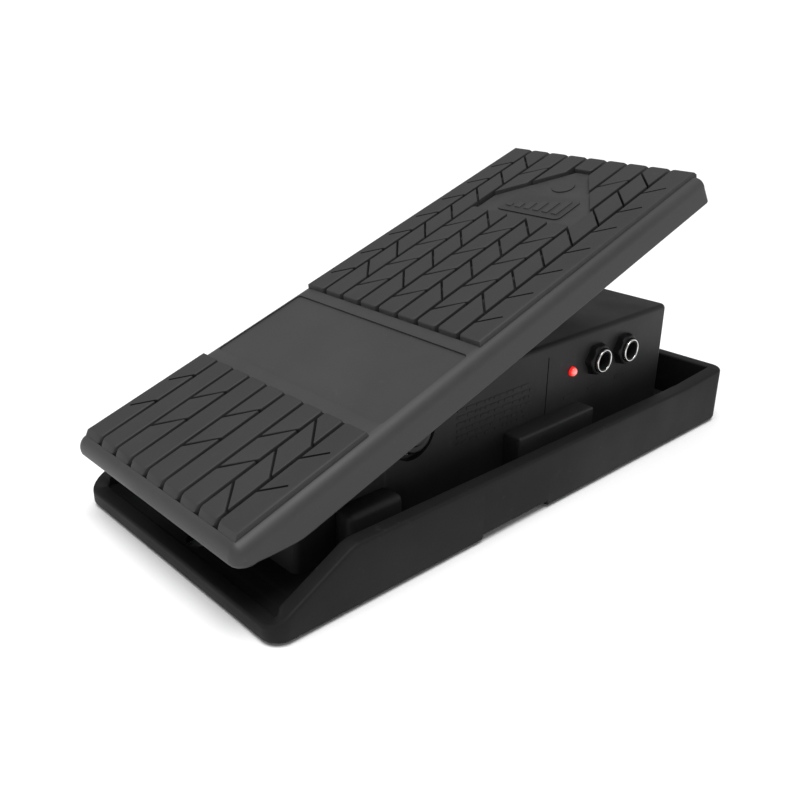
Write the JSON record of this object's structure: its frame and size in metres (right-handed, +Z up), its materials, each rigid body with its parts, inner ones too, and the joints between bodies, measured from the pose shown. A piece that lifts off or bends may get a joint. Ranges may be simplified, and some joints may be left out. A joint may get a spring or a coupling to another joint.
{
  "type": "volume pedal",
  "caption": "Foot-operated volume pedal: ribbed rocking treadle on a pivot axle over a housing in a shallow tray, with jack sockets on the side.",
  "frame": {"origin": "middle of the footprint, on the surface that the feet stand on", "axes": "+X towards the jack side, +Y towards the toe end, +Z up"},
  "size_m": [0.109, 0.2348, 0.1035],
  "materials": {
    "tray_plastic": "fine moulded grain",
    "housing_plastic": "fine moulded grain",
    "treadle_plastic": "fine moulded grain",
    "tread_rubber": "matt",
    "emblem_plastic": "satin",
    "label_black": "matt film",
    "foot_rubber": "matt",
    "steel_sheet": "black powder coat",
    "screw_steel": "zinc plated",
    "bright_steel": "turned",
    "black_steel": "black oxide",
    "nickel": "nickel plated",
    "jack_black": "moulded",
    "led_red": "clear red, lit",
    "board_green": "solder resist",
    "component_dark": "mixed components",
    "pot_metal": "stamped",
    "battery_case": "plain wrap",
    "bush_nylon": "natural nylon",
    "gear_acetal": "natural acetal",
    "slider_white": "moulded",
    "knob_black": "ribbed"
  },
  "bodies": {
    "base": {"base_tray": "tray_plastic", "base_plate": "steel_sheet", "base_plate_screws": "screw_steel", "rubber_feet": "foot_rubber", "housing": "housing_plastic", "housing_lugs": "housing_plastic", "housing_screws": "screw_steel", "side_label": "label_black", "pivot_axle": "black_steel", "axle_washers": "bright_steel", "axle_nuts": "black_steel", "heel_bumpers": "foot_rubber", "circuit_board": "board_green", "board_components": "component_dark", "board_screws": "screw_steel", "pot_body": "pot_metal", "pot_nut": "bright_steel", "jack_bodies": "jack_black", "jack_bushes": "nickel", "jack_nuts": "jack_black", "indicator_led": "led_red", "led_leads": "bright_steel", "power_socket": "jack_black", "mode_switch_body": "pot_metal", "level_pot_body": "pot_metal", "battery": "battery_case", "battery_snap": "jack_black"},
    "treadle": {"treadle_body": "treadle_plastic", "heel_tread_pad": "tread_rubber", "toe_tread_pad": "tread_rubber", "emblem_plate": "emblem_plastic", "axle_bushes": "bush_nylon", "gear_sector": "gear_acetal", "sector_screws": "screw_steel", "toe_bumpers": "foot_rubber"},
    "pot_rotor": {"pot_shaft": "bright_steel", "pinion": "gear_acetal"},
    "mode_slider": {"mode_slider": "slider_white"},
    "level_control": {"level_shaft": "bright_steel", "level_knob": "knob_black"}
  },
  "joints": [
    {"name": "treadle_rock", "type": "hinge", "parent": "base", "child": "treadle", "pos_m": [0, -0.04452, 0.0371], "axis": [-1, 0, 0], "range_deg": [0, 18.5]},
    {"name": "pot_turn", "type": "hinge", "parent": "base", "child": "pot_rotor", "pos_m": [0, 0.00873, 0.02333], "axis": [1, 0, 0], "range_deg": [0, 185]},
    {"name": "mode_slide", "type": "slide", "parent": "base", "child": "mode_slider", "axis": [0, 1, 0], "range_m": [0, 0.004]},
    {"name": "level_turn", "type": "hinge", "parent": "base", "child": "level_control", "pos_m": [-0.036, 0.06788, 0.037], "axis": [-1, 0, 0], "range_deg": [0, 280]}
  ],
  "couplings": [
    {"joint": "pot_turn", "follows": "treadle_rock", "ratio": 10}
  ]
}
